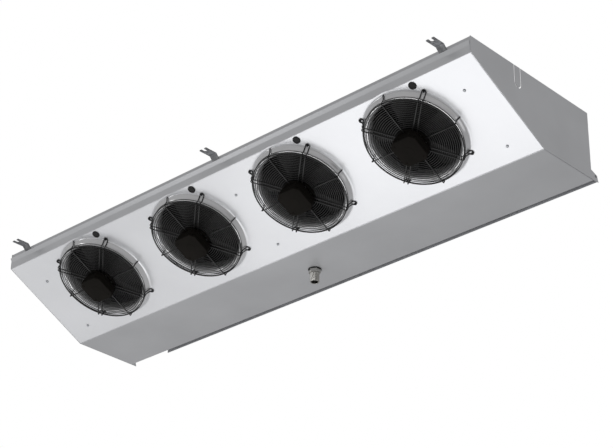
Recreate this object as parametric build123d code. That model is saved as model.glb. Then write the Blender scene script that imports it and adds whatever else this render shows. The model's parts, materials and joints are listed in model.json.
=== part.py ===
"""Ceiling unit cooler for a walk-in cold room, with four fans on a hinged, sloping fan plate.

Frame: X runs along the cooler, Y from the front (fans) to the rear (coil face), Z is up. The
origin is in the ceiling plane, at mid-length, midway between the front and rear hanging slots.
Everything is in millimetres.
"""
import os
from math import atan2, cos, hypot, sin

from build123d import *

# ---------------------------------------------------------------- driving dimensions
# casing
LENGTH = 1744.0            # over both end panels
DEPTH = 492.0              # front lip face to rear bracket feet
HEIGHT = 194.7             # top sheet to underside of the drip tray
CEILING_GAP = 1.0          # top sheet below the ceiling plane
SHEET = 1.2                # casing sheet
LIP_DROP = 48.2            # top sheet to lower edge of the front lip
HEM_REACH = 9.0            # how far the lip's top hem flares forward
HEM_DROP = 27.0            # top sheet to the fold of the hem
HEM_HEIGHT = 14.0
SLOPE_RUN = 284.9          # depth of the sloping fan plate, seen from above
END_GAP = 1.0              # hinged tray to each end panel

# rails and hanging brackets
RAIL_SET_BACK = 5.0        # rail face behind the lip face
FRONT_RAIL_FLANGE = 30.0
REAR_RAIL_FLANGE = 16.0    # ends behind the suction pipe's way in
FRONT_RAIL_DROP = 40.0
REAR_RAIL_DROP = 36.0
BRACKET_THICK = 3.0
BRACKET_WIDTH = 25.0
BRACKET_REACH = 54.0       # tab tip beyond the lip face
BRACKET_RISE = 18.0        # joggle between the foot and the tab
BRACKET_FOOT = 17.0
SLOT_WIDTH = 10.0          # open fork slot for an M8 rod
SLOT_CENTRE = 45.0         # rod axis beyond the lip face

# inner frames, which also are the coil's tube sheets
FRAME_INSET = 82.0         # fixing line of the outer frames from each end
FRAME_SHEET = 1.5
FLANGE_WIDTH = 16.0
FLANGE_GAP = 0.5           # flange to the inside of the fan plate
FRAME_FOOT = 26.0          # frame's lower edge above the tray's underside
SCREW_V = (86.0, 273.0)    # plate screws down the slope
SCREW_HEAD_R = 4.0
SCREW_HEAD = 2.2
SCREW_SIDES = 12

# coil
TUBE_PITCH = 33.0
TUBE_ROWS = 2              # rows in the depth
TUBES_HIGH = 4
TUBE_R = 6.0
TUBE_SIDES = 6
TUBE_FIT = 0.15
TUBE_OVERRUN = 12.0        # straight tube beyond a tube sheet before a bend
COIL_TOP = 34.0            # top sheet to the top of the fins
COIL_REAR_GAP = 10.0       # rear rail's face to the fins
COIL_MARGIN = 6.0          # fins beyond half a pitch, front and rear
FIN_PITCH = 66.0
FIN_THICK = 6.0
FIN_CUT = 10.0             # depth of the gaps between fins, short of the tubes
FIN_END_GAP = 0.5
HEADER_X = 32.0            # header axes from the left end
SUCTION_R = 9.0
LIQUID_R = 6.0
HEADER_WALL = 1.0
HEADER_SWELL = 1.5         # header wider than its stub
STUB_DEPTH = 20.0          # open end of a header for the site pipe
STUB_TOP = 12.0            # stub ends below the top sheet

# end panels
KNOCKOUT_Y = 187.0         # axis of the pipe knock-out behind the lip face
KNOCKOUT_R = 14.0
KNOCKOUT_DROP = 49.0       # top sheet to the centre of its round end
KNOCKOUT_SLIT = 2.6
KNOCKOUT_TIE = 5.0
END_SET_IN = 7.0           # rear edge of an end panel ahead of the rear bracket feet
EAR_TOE = 11.2             # ear's tip behind the hinge rod's axis
EAR_SHOULDER = 6.0         # ear's shoulder behind the hinge rod's axis
EAR_HEIGHT = 18.0          # shoulder above the tray's underside
EAR_START = 26.7           # start of the ear above the tray's underside
END_FLANGE = 14.0

# drip tray and its rear hook hinge
TRAY_RIM = 14.0
HOOK_GAP = 3.0             # front wall of the hook behind the rear bracket feet
HOOK_WIDTH = 17.0
HOOK_RISE = 17.7           # hook's inside top above the tray's underside
HOOK_TAIL = 16.0
HOOK_START = 145.0         # hook's left end from the casing's left end
ROD_R = 4.0
ROD_GAP = 0.06
ROD_OVERRUN = 4.0          # rod beyond the left frame's arm
ARM_R = 7.0                # eye of the left frame's arm round the rod
ARM_HEIGHT = 34.0

# drain
DRAIN_SET_IN = 100.0       # drain axis ahead of the rear bracket feet
DRAIN_R = 13.2             # G 3/4 pipe thread
DRAIN_BORE_R = 10.0
DRAIN_DROP = 40.0
DRAIN_HEX = 31.0           # across flats
DRAIN_HEX_HEIGHT = 10.0
GASKET_R = 19.0
GASKET = 2.0
DRAIN_NUT = 6.0

# fans
FAN_COUNT = 4
FAN_END = 281.75           # outer fan axes from each end of the casing
FAN_V = 146.1              # fan axis down the slope
ROTOR_R = 115.0
TIP_GAP = 2.5
RIDGE_R = 139.0            # foot of the raised bell-mouth
RIDGE_HEIGHT = 14.0
RIDGE_CREST_R = 128.0      # middle of the flat crest
RIDGE_CREST = 7.0          # its width
THROAT_RISE = 5.0          # top of the straight throat above the plate
THROAT_DEPTH = 16.0        # duct behind the plate
BLADES = 5
BLADE_THICK = 1.6
BLADE_ROOT = (44.0, 38.0)  # chord and pitch in degrees at the hub
BLADE_TIP = (86.0, 22.0)   # the same just beyond the tip circle
BLADE_CAMBER = 0.09        # of the chord
BLADE_LAP = 4.0            # blade drawn into the hub and past the tip before trimming
HUB_R = 34.0
HUB_FRONT = 14.0           # hub end towards the motor, above the plate
HUB_LENGTH = 30.0
SHAFT_R = 4.0
SHAFT_END = 50.0           # above the plate
SHAFT_GAP = 0.05

# motor and guard, heights above the plate's outer face
GUARD_LEVEL = 30.0
GUARD_R = 131.0
GUARD_RING_RADII = (88.0, 131.0)
GUARD_WIRE = 2.2
GUARD_SIDES = 24           # flats of a ring
GUARD_SIDE_LEVEL = 18.0    # second outer ring, round the bell-mouth
GUARD_PLATE_R = 44.0
GUARD_PLATE_HOLE_R = 12.0
GUARD_CLEARANCE = 0.6      # spokes to the foot of the bell-mouth
SPOKE_LAP = 6.0            # spokes welded over the motor plate's edge
SPOKE_SPACING = 10.8       # between the wires of a double spoke
EYELET_PCD_R = 149.0
EYELET_R = 4.0
GUARD_SCREW_HEX = 10.5
GUARD_SCREW_HEAD = 3.0
MOTOR_SIZE = 78.0
MOTOR_CHAMFER = 12.0
MOTOR_BACK = 36.0
MOTOR_FRONT = 66.0
SPACER_HEX = 8.0
SPACER_OFFSET = (32.0, 12.0)

# cable grommets
GROMMET_OFFSET = (87.0, -131.0)    # from a fan axis: along X and down the slope
GROMMET_R = 11.0
GROMMET_NECK_R = 8.0
GROMMET_HEAD = 3.0
GROMMET_SIDES = 16

# terminal box in the right end compartment
BOX_SIZE = (46.0, 84.0, 46.0)
BOX_FRONT = 84.0
BOX_TOP = 30.0
BOX_WALL = 2.0
BOX_LID = 3.0

# ---------------------------------------------------------------- derived places
TOP = -CEILING_GAP
FRONT = -DEPTH / 2
REAR_FACE = DEPTH / 2
RIGHT = LENGTH / 2
LEFT = -RIGHT
BOTTOM = TOP - HEIGHT
LIP_Z = TOP - LIP_DROP
SLOPE_END = FRONT + SLOPE_RUN
SLOPE_DROP = HEIGHT - LIP_DROP
SLOPE_ANGLE = atan2(SLOPE_DROP, SLOPE_RUN)
SLOPE_LENGTH = hypot(SLOPE_RUN, SLOPE_DROP)
THROAT_R = ROTOR_R + TIP_GAP
TRAY_HALF = RIGHT - SHEET - END_GAP
FRAME_LINES = {"left": LEFT + FRAME_INSET, "centre": 0.0, "right": RIGHT - FRAME_INSET}
RAIL_FACE = FRONT + RAIL_SET_BACK
REAR_RAIL_FACE = REAR_FACE - RAIL_SET_BACK
PANEL_TOP = TOP - SHEET
FRAME_TOP = PANEL_TOP - SHEET
COIL_HEIGHT = TUBE_PITCH * TUBES_HIGH
COIL_DEPTH = TUBE_PITCH * TUBE_ROWS + 2 * COIL_MARGIN
COIL_REAR = REAR_RAIL_FACE - COIL_REAR_GAP
COIL_FRONT = COIL_REAR - COIL_DEPTH
COIL_TOP_Z = TOP - COIL_TOP
COIL_BOTTOM_Z = COIL_TOP_Z - COIL_HEIGHT
HOOK_FACE = REAR_FACE + HOOK_GAP
ROD_Y = HOOK_FACE + HOOK_WIDTH / 2
ROD_Z = BOTTOM + HOOK_RISE - ROD_GAP - ROD_R
DRAIN_Y = REAR_FACE - DRAIN_SET_IN
END_REAR = REAR_FACE - END_SET_IN
FAN_PITCH = (LENGTH - 2 * FAN_END) / (FAN_COUNT - 1)
FAN_X = [FAN_PITCH * (i - (FAN_COUNT - 1) / 2) for i in range(FAN_COUNT)]


# ---------------------------------------------------------------- helpers
def rectangle(x0, x1, y0, y1, z0, z1):
    """Box between two corners."""
    return Pos((x0 + x1) / 2, (y0 + y1) / 2, (z0 + z1) / 2) * Box(x1 - x0, y1 - y0, z1 - z0)


def folded(points, thickness):
    """Outline of a folded sheet: the line of its outer face, thickened to the left (or right)."""
    normals = []
    for (y0, z0), (y1, z1) in zip(points, points[1:]):
        run = hypot(y1 - y0, z1 - z0)
        normals.append(((z0 - z1) / run, (y1 - y0) / run))
    inner = []
    for i, (y, z) in enumerate(points):
        a = normals[max(i - 1, 0)]
        b = normals[min(i, len(normals) - 1)]
        stretch = thickness / (1 + a[0] * b[0] + a[1] * b[1])
        inner.append((y + (a[0] + b[0]) * stretch, z + (a[1] + b[1]) * stretch))
    return list(points) + inner[::-1]


def along_x(outline, x0, x1):
    """Extrude an outline of (y, z) points from x0 to x1."""
    face = Plane.YZ.offset(x0) * Polygon(*outline, align=None)
    return extrude(face, x1 - x0, dir=(1, 0, 0))


def on_plate(x, v, height=0.0):
    """Location on the fan plate: X along the casing, local -Y down the slope, Z outward."""
    origin = (x, FRONT + v * cos(SLOPE_ANGLE) - height * sin(SLOPE_ANGLE),
              LIP_Z - v * sin(SLOPE_ANGLE) - height * cos(SLOPE_ANGLE))
    outward = (0, -sin(SLOPE_ANGLE), -cos(SLOPE_ANGLE))
    return Plane(origin, x_dir=(1, 0, 0), z_dir=outward).location


def disc(radius, z0, z1):
    """Cylinder on the local Z axis from z0 to z1."""
    return Pos(0, 0, (z0 + z1) / 2) * Cylinder(radius, z1 - z0)


def hexagon(across_flats, z0, z1):
    flat = RegularPolygon(across_flats / 2, 6, major_radius=False)
    return extrude(Pos(0, 0, z0) * flat, z1 - z0)


def spun(profile):
    """Revolve an outline of (radius, height) points about the local Z axis."""
    return revolve(Plane.XZ * Polygon(*profile, align=None), Axis.Z)


def bar(points, width):
    """Square wire through the points."""
    path = Polyline(*points)
    section = Plane(path @ 0, z_dir=path % 0) * Rectangle(width, width)
    return sweep(section, path=path, transition=Transition.RIGHT)


# ---------------------------------------------------------------- casing
def top_panel():
    """Sheet between the outer frames; the end compartments stay open above for the pipes."""
    x = web_x("right") + FRAME_SHEET / 2
    return rectangle(-x, x, RAIL_FACE + SHEET, REAR_RAIL_FACE - SHEET, FRAME_TOP, PANEL_TOP)


def rail(face, direction, drop, top_flange):
    """Angle rail: a face towards the outside and a top flange over the top panel."""
    flange = face + direction * top_flange
    outline = folded([(face, TOP - drop), (face, TOP), (flange, TOP)], -direction * SHEET)
    return along_x(outline, LEFT + SHEET, RIGHT - SHEET)


def end_outline():
    return [(FRONT, TOP), (FRONT, LIP_Z), (SLOPE_END, BOTTOM), (ROD_Y + EAR_TOE, BOTTOM),
            (ROD_Y + EAR_SHOULDER, BOTTOM + EAR_HEIGHT), (END_REAR, BOTTOM + EAR_START),
            (END_REAR, TOP)]


def knockout():
    """U-shaped slit for a pipe, open at the top edge, with one tie left at the bottom."""
    y = FRONT + KNOCKOUT_Y
    z = TOP - KNOCKOUT_DROP

    def tongue(radius):
        end = Pos(y, z) * Circle(radius)
        return end + Pos(y, (z + TOP) / 2 + SHEET) * Rectangle(2 * radius, TOP - z + 2 * SHEET)

    slit = tongue(KNOCKOUT_R) - tongue(KNOCKOUT_R - KNOCKOUT_SLIT)
    tie = Pos(y, z - KNOCKOUT_R) * Rectangle(KNOCKOUT_TIE, 2 * KNOCKOUT_R)
    return slit - tie


def end_panel(side):
    """Flat profile with return flanges inside its top and rear edges."""
    outer = side * RIGHT
    inner = outer - side * SHEET
    x0, x1 = sorted((outer, inner))
    body = along_x(end_outline(), x0, x1)
    slit = extrude(Plane.YZ.offset(x0 - SHEET) * knockout(), 3 * SHEET, dir=(1, 0, 0))
    f0, f1 = sorted((inner, inner - side * END_FLANGE))
    flange = rectangle(f0, f1, END_REAR - SHEET, END_REAR, BOTTOM + EAR_START,
                       TOP - REAR_RAIL_DROP - SHEET)
    rod = Pos(outer, ROD_Y, ROD_Z) * Rot(0, 90, 0) * Cylinder(ROD_R + TUBE_FIT, 4 * SHEET)
    body = body - slit + flange
    return body - rod if side > 0 else body


def web_x(name):
    """Middle of a frame's web, at the outer edge of its flange."""
    line = FRAME_LINES[name]
    return line + FLANGE_WIDTH / 2 if line > 0 else line - FLANGE_WIDTH / 2


def frame(name):
    """Web between the rails, with a flange along the slope that takes the plate screws.

    The outer two also are tube sheets, and the left one carries the hinge rod's free end.
    """
    web = web_x(name)
    line = FRAME_LINES[name]
    gap = (SHEET + FLANGE_GAP) / cos(SLOPE_ANGLE)
    front = RAIL_FACE + SHEET + FLANGE_GAP
    foot = BOTTOM + FRAME_FOOT
    front_z = LIP_Z + gap - (front - FRONT) * SLOPE_DROP / SLOPE_RUN
    foot_y = FRONT + (LIP_Z + gap - foot) * SLOPE_RUN / SLOPE_DROP
    rear = COIL_FRONT - FLANGE_GAP if name == "centre" else COIL_REAR + FLANGE_GAP
    outline = [(front, FRAME_TOP), (front, front_z), (foot_y, foot), (rear, foot),
               (rear, FRAME_TOP)]
    x0, x1 = web - FRAME_SHEET / 2, web + FRAME_SHEET / 2
    body = along_x(outline, x0, x1)
    if name == "left":
        strap = [(rear, foot), (ROD_Y - ARM_R, foot), (ROD_Y - ARM_R, ROD_Z),
                 (ROD_Y + ARM_R, ROD_Z), (ROD_Y + ARM_R, foot + ARM_R), (rear, foot + ARM_HEIGHT)]
        eye = Pos(web, ROD_Y, ROD_Z) * Rot(0, 90, 0)
        body += along_x(strap, x0, x1) + eye * Cylinder(ARM_R, FRAME_SHEET)
        body -= eye * Cylinder(ROD_R + TUBE_FIT, 4 * FRAME_SHEET)
    slope = folded([(front, front_z), (foot_y, foot)], FRAME_SHEET)
    body += along_x(slope, line - FLANGE_WIDTH / 2, line + FLANGE_WIDTH / 2)
    if name != "centre":
        body -= tube_holes(web - FRAME_SHEET, web + FRAME_SHEET)
    return body


# ---------------------------------------------------------------- hanging brackets
def bracket(x, direction):
    """Joggled strap: foot on the rail, tab against the ceiling with an open rod slot."""
    face = (RAIL_FACE if direction < 0 else REAR_RAIL_FACE) + direction * BRACKET_THICK
    tip = (FRONT if direction < 0 else REAR_FACE) + direction * BRACKET_REACH
    tab_z = -BRACKET_THICK
    knee_z = tab_z - BRACKET_RISE
    line = [(face, knee_z - BRACKET_FOOT), (face, knee_z),
            (face + direction * BRACKET_RISE, tab_z), (tip, tab_z)]
    body = along_x(folded(line, direction * BRACKET_THICK), x - BRACKET_WIDTH / 2,
                   x + BRACKET_WIDTH / 2)
    slot_y = (FRONT if direction < 0 else REAR_FACE) + direction * SLOT_CENTRE
    slot = SlotCenterToCenter(2 * BRACKET_REACH, SLOT_WIDTH)
    cutter = extrude(Rot(0, 0, 90) * slot, 4 * BRACKET_THICK, both=True)
    return body - Pos(x, slot_y + direction * BRACKET_REACH, 0) * cutter


# ---------------------------------------------------------------- coil
def tube_grid():
    """(y, z) of every tube, row by row from the front and from the bottom up."""
    first = COIL_FRONT + COIL_MARGIN
    return [(first + TUBE_PITCH * (row + 0.5), COIL_BOTTOM_Z + TUBE_PITCH * (high + 0.5))
            for row in range(TUBE_ROWS) for high in range(TUBES_HIGH)]


def tube_section(clearance=0.0):
    """Tube outline, drawn with a few flats."""
    return RegularPolygon(TUBE_R + clearance, TUBE_SIDES, major_radius=False)


def tube_holes(x0, x1):
    """Cutters for every tube between two places along X."""
    across = Plane.YZ.offset(x0)
    return [extrude(across * Pos(y, z) * tube_section(TUBE_FIT), x1 - x0, dir=(1, 0, 0))
            for y, z in tube_grid()]


def coil_fins():
    """Fin block with its tube holes, slotted from the rear face into single fins."""
    x0 = web_x("left") + FRAME_SHEET / 2 + FIN_END_GAP
    x1 = web_x("right") - FRAME_SHEET / 2 - FIN_END_GAP
    body = rectangle(x0, x1, COIL_FRONT, COIL_REAR, COIL_BOTTOM_Z, COIL_TOP_Z)
    count = int((x1 - x0) / FIN_PITCH)
    start = (x0 + x1) / 2 - FIN_PITCH * (count - 1) / 2
    gap = Box(FIN_PITCH - FIN_THICK, 2 * FIN_CUT, 2 * COIL_HEIGHT)
    middle = (COIL_TOP_Z + COIL_BOTTOM_Z) / 2
    cuts = [Pos(start + FIN_PITCH * i, COIL_REAR, middle) * gap for i in range(count)]
    return body - cuts - tube_holes(x0 - 1, x1 + 1)


def circuit(first, second):
    """One serpentine through the rows: hairpins on the right, return bends on the left."""
    grid = tube_grid()
    left = web_x("left") - TUBE_OVERRUN
    right = web_x("right") + TUBE_OVERRUN
    route = []
    for row in range(TUBE_ROWS):
        pair = (first, second) if row % 2 == 0 else (second, first)
        route += [grid[row * TUBES_HIGH + high] for high in pair]
    here = (LEFT + HEADER_X + LIQUID_R + HEADER_SWELL, *route[0])
    edges = []
    for i, (y, z) in enumerate(route):
        far = right if i % 2 == 0 else left
        if i == len(route) - 1:
            far = LEFT + HEADER_X + SUCTION_R + HEADER_SWELL
        there = (far, y, z)
        edges.append(Line(here, there))
        if i < len(route) - 1:
            y1, z1 = route[i + 1]
            swing = TUBE_PITCH / 2 if i % 2 == 0 else -TUBE_PITCH / 2
            here = (far, y1, z1)
            edges.append(ThreePointArc(there, (far + swing, (y + y1) / 2, (z + z1) / 2), here))
    path = Wire([edge.edge() for edge in edges])
    section = Plane(path @ 0, x_dir=(0, 1, 0), z_dir=path % 0) * tube_section()
    return sweep(section, path=path)


def header(row, radius, highs):
    """Upright pipe that joins the circuit ends of one row, with an open end to solder to."""
    y = tube_grid()[row * TUBES_HIGH][0]
    low = min(tube_grid()[high][1] for high in highs) - 2 * radius
    top = TOP - STUB_TOP
    pipe = disc(radius + HEADER_SWELL, low, top - STUB_DEPTH) + disc(radius, low, top)
    pipe -= disc(radius - HEADER_WALL, top - STUB_DEPTH, top + 1)
    return Pos(LEFT + HEADER_X, y, 0) * pipe


# ---------------------------------------------------------------- hinged fan plate and tray
def bell_mouth():
    """Pressed ring round a fan's throat: a raised rolled lip outside and a duct inside."""
    wall = SHEET
    profile = [(RIDGE_R, 0), (RIDGE_CREST_R + RIDGE_CREST / 2, RIDGE_HEIGHT),
               (RIDGE_CREST_R - RIDGE_CREST / 2, RIDGE_HEIGHT), (THROAT_R, THROAT_RISE),
               (THROAT_R, -THROAT_DEPTH), (THROAT_R + wall, -THROAT_DEPTH),
               (THROAT_R + wall, THROAT_RISE), (RIDGE_CREST_R, RIDGE_HEIGHT - wall),
               (RIDGE_R - 2 * wall, -wall), (RIDGE_R, -wall)]
    return spun(profile)


def fan_plate():
    """Front lip with its flared hem, the sloping plate with four bell-mouths, and a rear fold."""
    line = [(FRONT - HEM_REACH, TOP - HEM_DROP + HEM_HEIGHT), (FRONT, TOP - HEM_DROP),
            (FRONT, LIP_Z), (SLOPE_END, BOTTOM), (SLOPE_END, BOTTOM + TRAY_RIM)]
    body = along_x(folded(line, SHEET), -TRAY_HALF, TRAY_HALF)
    for x in FAN_X:
        body -= on_plate(x, FAN_V) * disc(RIDGE_R, -2 * SHEET, SHEET)
        body += on_plate(x, FAN_V) * bell_mouth()
        gx, gv = GROMMET_OFFSET
        hole = RegularPolygon(GROMMET_NECK_R + TUBE_FIT, GROMMET_SIDES)
        body -= on_plate(x + gx, FAN_V + gv) * extrude(hole, 2 * SHEET, both=True)
    return body


def drip_tray():
    """Flat tray behind the fan plate, with end rims and a hook over the hinge rod."""
    start = SLOPE_END + TUBE_FIT
    hook = HOOK_FACE
    top = BOTTOM + HOOK_RISE
    line = [(start, BOTTOM + TRAY_RIM), (start, BOTTOM), (hook, BOTTOM), (hook, top),
            (hook + HOOK_WIDTH, top), (hook + HOOK_WIDTH, top - HOOK_TAIL)]
    outline = folded([line[0], line[1], line[2], line[3]], SHEET)
    body = along_x(outline, -TRAY_HALF, LEFT + HOOK_START)
    body += along_x(folded(line, SHEET), LEFT + HOOK_START, TRAY_HALF)
    for x in (-TRAY_HALF, TRAY_HALF - SHEET):
        body += rectangle(x, x + SHEET, start, hook, BOTTOM, BOTTOM + TRAY_RIM)
    return body - Pos(0, DRAIN_Y, BOTTOM) * Cylinder(DRAIN_R + TUBE_FIT, 4 * SHEET)


def hinge_rod():
    x0, x1 = web_x("left") - ROD_OVERRUN, RIGHT
    return Pos((x0 + x1) / 2, ROD_Y, ROD_Z) * Rot(0, 90, 0) * Cylinder(ROD_R, x1 - x0)


def plate_screws():
    """Heads of the screws that hold the plate to the frames."""
    head = extrude(RegularPolygon(SCREW_HEAD_R, SCREW_SIDES), SCREW_HEAD)
    return [on_plate(x, v) * head for x in FRAME_LINES.values() for v in SCREW_V]


def cable_grommets():
    """Closed rubber grommets for the motor cables, one beside each fan."""
    gx, gv = GROMMET_OFFSET
    neck = extrude(RegularPolygon(GROMMET_NECK_R, GROMMET_SIDES), -SHEET - GROMMET_HEAD)
    plug = neck + extrude(RegularPolygon(GROMMET_R, GROMMET_SIDES), GROMMET_HEAD)
    return [on_plate(x + gx, FAN_V + gv) * plug for x in FAN_X]


# ---------------------------------------------------------------- drain
def drain_nipple():
    """Threaded outlet with a spanner hexagon, clamped through the tray."""
    seat = -GASKET
    body = disc(DRAIN_R, -DRAIN_DROP, SHEET + DRAIN_NUT + 1)
    body += hexagon(DRAIN_HEX, seat - DRAIN_HEX_HEIGHT, seat)
    body -= disc(DRAIN_BORE_R, -DRAIN_DROP - 1, SHEET + DRAIN_NUT + 2)
    return Pos(0, DRAIN_Y, BOTTOM) * body


def drain_gasket():
    ring = disc(GASKET_R, -GASKET, 0) - disc(DRAIN_R + TUBE_FIT, -GASKET - 1, 1)
    return Pos(0, DRAIN_Y, BOTTOM) * ring


def drain_nut():
    nut = hexagon(DRAIN_HEX, SHEET, SHEET + DRAIN_NUT) - disc(DRAIN_R + TUBE_FIT, 0, 4 * DRAIN_NUT)
    return Pos(0, DRAIN_Y, BOTTOM) * nut


# ---------------------------------------------------------------- fans
def eyelets(x):
    """Locations of a guard's four fixing screws on the plate."""
    reach = EYELET_PCD_R / 2 ** 0.5
    return [on_plate(x, FAN_V) * Pos(sx * reach, sy * reach, 0) for sx in (-1, 1) for sy in (-1, 1)]


def guard_ring(radius, level):
    half = GUARD_WIRE / 2
    ring = RegularPolygon(radius + half, GUARD_SIDES) - RegularPolygon(radius - half, GUARD_SIDES)
    return extrude(Pos(0, 0, level - half) * ring, GUARD_WIRE)


def guard_rings(x):
    """Rings of a wire guard, the last one round the side of the bell-mouth."""
    rings = [guard_ring(radius, GUARD_LEVEL) for radius in GUARD_RING_RADII]
    rings.append(guard_ring(GUARD_R + GUARD_WIRE, GUARD_SIDE_LEVEL))
    return [on_plate(x, FAN_V) * ring for ring in rings]


def fan_guard(x):
    """Spokes of a wire guard and its motor plate: single spokes on the axes, screwed doubles between.

    Each wire is a solid of its own, and crossing wires touch face to face where they are welded.
    """
    half = GUARD_WIRE / 2
    plate = RegularPolygon(GUARD_PLATE_R, 8) - RegularPolygon(GUARD_PLATE_HOLE_R, 8)
    wires = [extrude(Pos(0, 0, GUARD_LEVEL - half) * plate, GUARD_WIRE)]
    level = GUARD_LEVEL + GUARD_WIRE
    start = GUARD_PLATE_R - SPOKE_LAP
    rim = GUARD_R + 2 * GUARD_WIRE
    landing = RIDGE_R + SHEET + GUARD_CLEARANCE + half
    end = EYELET_PCD_R + EYELET_R
    for i in range(4):
        single = bar([(start, 0, level), (rim, 0, level), (rim, 0, GUARD_SIDE_LEVEL - half),
                      (landing, 0, 2 * GUARD_WIRE)], GUARD_WIRE)
        wires.append(Rot(0, 0, 90 * i) * single)
        for side in (-1, 1):
            y = side * SPOKE_SPACING / 2
            double = bar([(start, y, level), (rim, y, level), (landing, y, half), (end, y, half)],
                         GUARD_WIRE)
            wires.append(Rot(0, 0, 90 * i + 45) * double)
        loop = rectangle(end, end + GUARD_WIRE, -(SPOKE_SPACING + GUARD_WIRE) / 2,
                         (SPOKE_SPACING + GUARD_WIRE) / 2, 0, GUARD_WIRE)
        wires.append(Rot(0, 0, 90 * i + 45) * loop)
    return [on_plate(x, FAN_V) * wire for wire in wires]


def guard_screws():
    """Flanged heads that clamp both wires of each eyelet."""
    head = hexagon(GUARD_SCREW_HEX, GUARD_WIRE, GUARD_WIRE + GUARD_SCREW_HEAD)
    return [place * head for x in FAN_X for place in eyelets(x)]


def fan_motor(x):
    """Square motor with cut corners in front of the guard, its bearing bore towards the fan."""
    square = Pos(0, 0, MOTOR_BACK) * Rectangle(MOTOR_SIZE, MOTOR_SIZE)
    block = extrude(square, MOTOR_FRONT - MOTOR_BACK)
    block = chamfer(block.edges().filter_by(Axis.Z), MOTOR_CHAMFER)
    block = chamfer(block.faces().sort_by(Axis.Z)[-1].edges(), 2)
    bore = disc(SHAFT_R + SHAFT_GAP, 0, SHAFT_END + 1)
    return on_plate(x, FAN_V) * (block - bore)


def motor_spacers():
    """Hexagonal metal spacers that carry each motor on its guard's plate."""
    sx, sy = SPACER_OFFSET
    low = GUARD_LEVEL + GUARD_WIRE / 2
    spacer = hexagon(SPACER_HEX, low, MOTOR_BACK)
    return [on_plate(x, FAN_V) * Pos(i * sx, j * sy, 0) * spacer
            for x in FAN_X for i in (-1, 1) for j in (-1, 1)]


def blade():
    """Cambered blade that flattens and widens from the hub to the tip."""
    def section(radius, chord, pitch):
        flat = Plane((radius, 0, HUB_FRONT - HUB_LENGTH / 2), x_dir=(0, 1, 0), z_dir=(1, 0, 0))
        camber = chord * BLADE_CAMBER
        top = ThreePointArc((-chord / 2, 0), (0, camber), (chord / 2, 0))
        low = ThreePointArc((chord / 2, 0), (0, camber - BLADE_THICK), (-chord / 2, 0))
        return flat * Rot(0, 0, pitch) * make_face([top, low])

    body = loft([section(HUB_R - BLADE_LAP, *BLADE_ROOT), section(ROTOR_R + BLADE_LAP, *BLADE_TIP)],
                ruled=True)
    return body & disc(ROTOR_R, -2 * HUB_LENGTH, 2 * HUB_LENGTH)


def fan_rotor(x):
    """Hub, blades and shaft; the shaft runs in the motor's bearing bore."""
    back = HUB_FRONT - HUB_LENGTH
    body = disc(HUB_R, back, HUB_FRONT) + disc(SHAFT_R, HUB_FRONT, SHAFT_END)
    outside = disc(HUB_R - 1, back - 1, HUB_FRONT + 1)
    one = blade() - outside
    for i in range(BLADES):
        body += Rot(0, 0, 360 / BLADES * i) * one
    return on_plate(x, FAN_V) * body


# ---------------------------------------------------------------- terminal box
def terminal_box():
    """Open box on the outer face of the right frame; its lid faces the end panel."""
    sx, sy, sz = BOX_SIZE
    x0 = web_x("right") + FRAME_SHEET / 2
    y0 = FRONT + BOX_FRONT
    z1 = TOP - BOX_TOP
    body = rectangle(x0, x0 + sx, y0, y0 + sy, z1 - sz, z1)
    return body - rectangle(x0 + BOX_WALL, x0 + sx + 1, y0 + BOX_WALL, y0 + sy - BOX_WALL,
                            z1 - sz + BOX_WALL, z1 - BOX_WALL)


def terminal_lid():
    sx, sy, sz = BOX_SIZE
    x0 = web_x("right") + FRAME_SHEET / 2 + sx
    y0 = FRONT + BOX_FRONT
    z1 = TOP - BOX_TOP
    return rectangle(x0, x0 + BOX_LID, y0, y0 + sy, z1 - sz, z1)


# ---------------------------------------------------------------- all nodes
def model():
    nodes = {
        "top_panel": top_panel(),
        "front_rail": rail(RAIL_FACE, 1, FRONT_RAIL_DROP, FRONT_RAIL_FLANGE),
        "rear_rail": rail(REAR_RAIL_FACE, -1, REAR_RAIL_DROP, REAR_RAIL_FLANGE),
        "end_panel_left": end_panel(-1),
        "end_panel_right": end_panel(1),
        "coil_tubes": [circuit(0, 1), circuit(3, 2)],
        "coil_fins": coil_fins(),
        "suction_header": header(TUBE_ROWS - 1, SUCTION_R, (0, 3)),
        "liquid_header": header(0, LIQUID_R, (0, 3)),
        "hinge_rod": hinge_rod(),
        "terminal_box": terminal_box(),
        "terminal_lid": terminal_lid(),
        "fan_plate": fan_plate(),
        "drip_tray": drip_tray(),
        "plate_screws": plate_screws(),
        "cable_grommets": cable_grommets(),
        "drain_nipple": drain_nipple(),
        "drain_gasket": drain_gasket(),
        "drain_nut": drain_nut(),
        "guard_screws": guard_screws(),
        "motor_spacers": motor_spacers(),
    }
    for name, line in FRAME_LINES.items():
        nodes[f"frame_{name}"] = frame(name)
        nodes[f"bracket_front_{name}"] = bracket(line, -1)
        nodes[f"bracket_rear_{name}"] = bracket(line, 1)
    for i, x in enumerate(FAN_X, 1):
        nodes[f"guard_rings_{i}"] = guard_rings(x)
        nodes[f"fan_guard_{i}"] = fan_guard(x)
        nodes[f"fan_motor_{i}"] = fan_motor(x)
        nodes[f"fan_rotor_{i}"] = fan_rotor(x)
    return nodes


def main():
    os.makedirs("parts", exist_ok=True)
    for name, shape in model().items():
        solids = shape if isinstance(shape, list) else [shape]
        whole = Compound(children=[s for item in solids for s in item.solids()])
        export_step(whole, f"parts/{name}.step")


main()
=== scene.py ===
# %% [markdown]
# # A ceiling unit cooler, dressed for its portrait
# The object is a long, low cooler that hangs from the ceiling of a walk-in cold room. Its casing
# is folded sheet metal, and four small fans with wire guards sit in a sloping plate at the front.
# The CAD model gives every place and size. This script adds what a drawing leaves out: rounded
# folds, pressed rings, round wires, screw recesses, threads, thin fins and real surfaces.

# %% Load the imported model
import json
from math import atan2, cos, hypot, pi, radians, sin, sqrt, tau

import bmesh
import bpy
from mathutils import Matrix, Quaternion, Vector


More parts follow.
